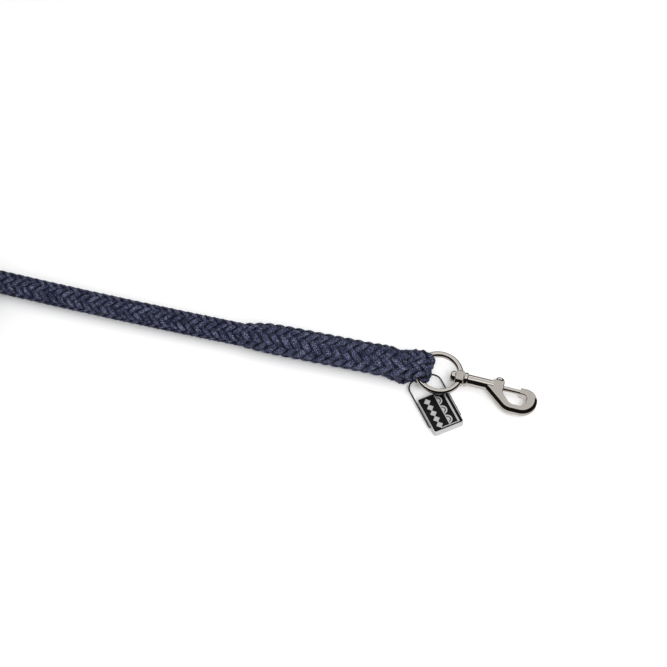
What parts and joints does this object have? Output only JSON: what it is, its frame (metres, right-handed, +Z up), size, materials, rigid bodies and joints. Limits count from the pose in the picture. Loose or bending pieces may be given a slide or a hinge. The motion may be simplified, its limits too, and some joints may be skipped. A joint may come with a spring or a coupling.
{
  "type": "rope lead with swivel snap",
  "caption": "Thick braided rope lead, its end spliced round the ring of a swivel bolt snap, with a small metal tag on a wire bail and the spare rope tied in a hank.",
  "frame": {"origin": "on the floor under the middle of the hardware, the spliced eye and the splice, the free rope left out", "axes": "+X from the rope towards the snap, +Z up from the surface it lies on"},
  "size_m": [0.7482, 0.1036, 0.0613],
  "materials": {
    "rope": "heathered navy and slate-blue braid",
    "tie": "woven webbing",
    "whipping": "tight cord whipping",
    "nickel": "polished nickel plate",
    "spring": "drawn wire",
    "dark_wire": "darkened wire",
    "tag_metal": "polished",
    "tag_black": "black enamel"
  },
  "bodies": {
    "rope": {"splice_cover": "rope", "buried_tail": "rope", "rope_eye": "rope", "rope_run": "rope", "rope_hank": "rope", "hank_tie": "tie", "rope_end": "whipping"},
    "ring": {"ring": "nickel"},
    "snap": {"snap_body": "nickel", "swivel_pin": "nickel", "bolt_spring": "spring"},
    "bolt": {"bolt": "nickel", "thumb_knob": "nickel"},
    "tag": {"tag_bail": "dark_wire", "tag_frame": "tag_metal", "tag_inlay_front": "tag_black", "tag_inlay_back": "tag_black", "tag_relief": "tag_metal"}
  },
  "joints": [
    {"name": "ring_swing", "type": "hinge", "parent": "rope", "child": "ring", "pos_m": [0.02386, 0.01623, 0.012], "axis": [0, -1, 0], "range_deg": [0, 60]},
    {"name": "snap_swivel", "type": "hinge", "parent": "ring", "child": "snap", "pos_m": [0.05775, 0.01623, 0.00927], "axis": [0.9968, 0, -0.0802], "continuous": true},
    {"name": "bolt_slide", "type": "slide", "parent": "snap", "child": "bolt", "axis": [-0.9968, 0, 0.0802], "range_m": [0, 0.013], "stiffness_N_per_m": 200, "springref_m": -0.006, "deforming": ["bolt_spring"]},
    {"name": "tag_swing", "type": "hinge", "parent": "rope", "child": "tag", "pos_m": [0.02726, 0.01293, 0.0033], "axis": [0.7934, 0.6088, 0], "range_deg": [0, 80]}
  ]
}
